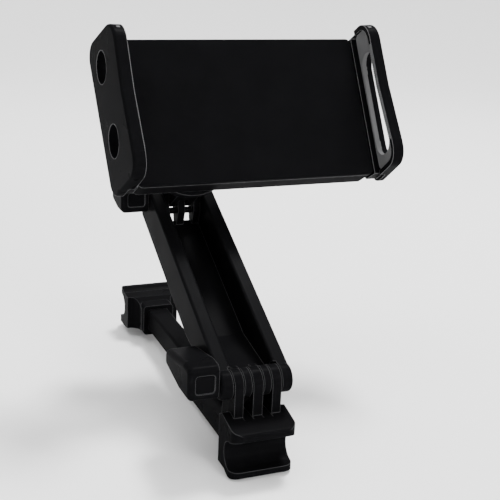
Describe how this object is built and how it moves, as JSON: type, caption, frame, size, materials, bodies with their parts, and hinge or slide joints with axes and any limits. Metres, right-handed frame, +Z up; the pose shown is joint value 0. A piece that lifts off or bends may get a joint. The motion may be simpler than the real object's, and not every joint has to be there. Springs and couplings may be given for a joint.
{
  "type": "tablet holder",
  "caption": "Folding tablet holder for a car headrest: sprung bar with hooks braced between the posts, hinged channel arm and tilting clamp with geared sliding jaws.",
  "frame": {"origin": "middle of the near headrest post, on the axis of the near hook's trough", "axes": "+X along the posts and the hinge bolts, +Y along the bar to the far hook, +Z up from the bar to the arm"},
  "size_m": [0.1522, 0.1984, 0.1893],
  "materials": {
    "black_plastic": "fine satin moulded black",
    "dark_plastic": "satin moulded black",
    "steel": "plated steel",
    "brass": "turned brass"
  },
  "bodies": {
    "base": {"base_body": "black_plastic", "lower_bolt": "steel", "slide_spring": "steel"},
    "slider": {"slide_rod": "dark_plastic", "far_hook": "black_plastic", "far_hook_screws": "steel"},
    "lever": {"hinge_lever": "black_plastic", "lever_insert": "brass"},
    "upper_lever": {"upper_lever": "black_plastic", "upper_nut": "steel"},
    "arm": {"arm_channel": "black_plastic", "lower_washers": "steel", "upper_bolt": "steel", "upper_washers": "steel"},
    "head": {"head_link": "black_plastic", "swivel_washer": "steel"},
    "clamp": {"rear_housing": "black_plastic", "front_plate": "black_plastic", "housing_screws": "steel", "swivel_screw": "steel"},
    "left_jaw": {"left_jaw": "black_plastic"},
    "right_jaw": {"right_jaw": "black_plastic"},
    "pinion": {"pinion": "dark_plastic"}
  },
  "joints": [
    {"name": "rod_slide", "type": "slide", "parent": "base", "child": "slider", "axis": [0, 1, 0], "range_m": [-0.03, 0], "stiffness_N_per_m": 400, "springref_m": 0.03, "deforming": ["slide_spring"]},
    {"name": "lever_turn", "type": "hinge", "parent": "base", "child": "lever", "pos_m": [0, 0.013, 0.0296], "axis": [1, 0, 0], "range_deg": [0, 60]},
    {"name": "arm_fold", "type": "hinge", "parent": "base", "child": "arm", "pos_m": [0, 0.013, 0.0296], "axis": [1, 0, 0], "range_deg": [-26, 70]},
    {"name": "upper_lever_turn", "type": "hinge", "parent": "arm", "child": "upper_lever", "pos_m": [0, 0.12835, 0.08736], "axis": [1, 0, 0], "range_deg": [0, 60]},
    {"name": "head_tilt", "type": "hinge", "parent": "arm", "child": "head", "pos_m": [0, 0.12835, 0.08736], "axis": [1, 0, 0], "range_deg": [-25, 20]},
    {"name": "clamp_spin", "type": "hinge", "parent": "head", "child": "clamp", "pos_m": [0, 0.11175, 0.11402], "axis": [0, -0.859, 0.512], "range_deg": [-20, 20]},
    {"name": "left_jaw_slide", "type": "slide", "parent": "clamp", "child": "left_jaw", "axis": [-1, 0, 0], "range_m": [0, 0.025]},
    {"name": "right_jaw_slide", "type": "slide", "parent": "clamp", "child": "right_jaw", "axis": [1, 0, 0], "range_m": [0, 0.025]},
    {"name": "pinion_turn", "type": "hinge", "parent": "clamp", "child": "pinion", "pos_m": [0.04, 0.11436, 0.13225], "axis": [0, -0.859, 0.512], "range_deg": [0, 179.05]}
  ],
  "couplings": [
    {"joint": "right_jaw_slide", "follows": "left_jaw_slide", "ratio": 1},
    {"joint": "pinion_turn", "follows": "left_jaw_slide", "rad_per_m": 125}
  ]
}
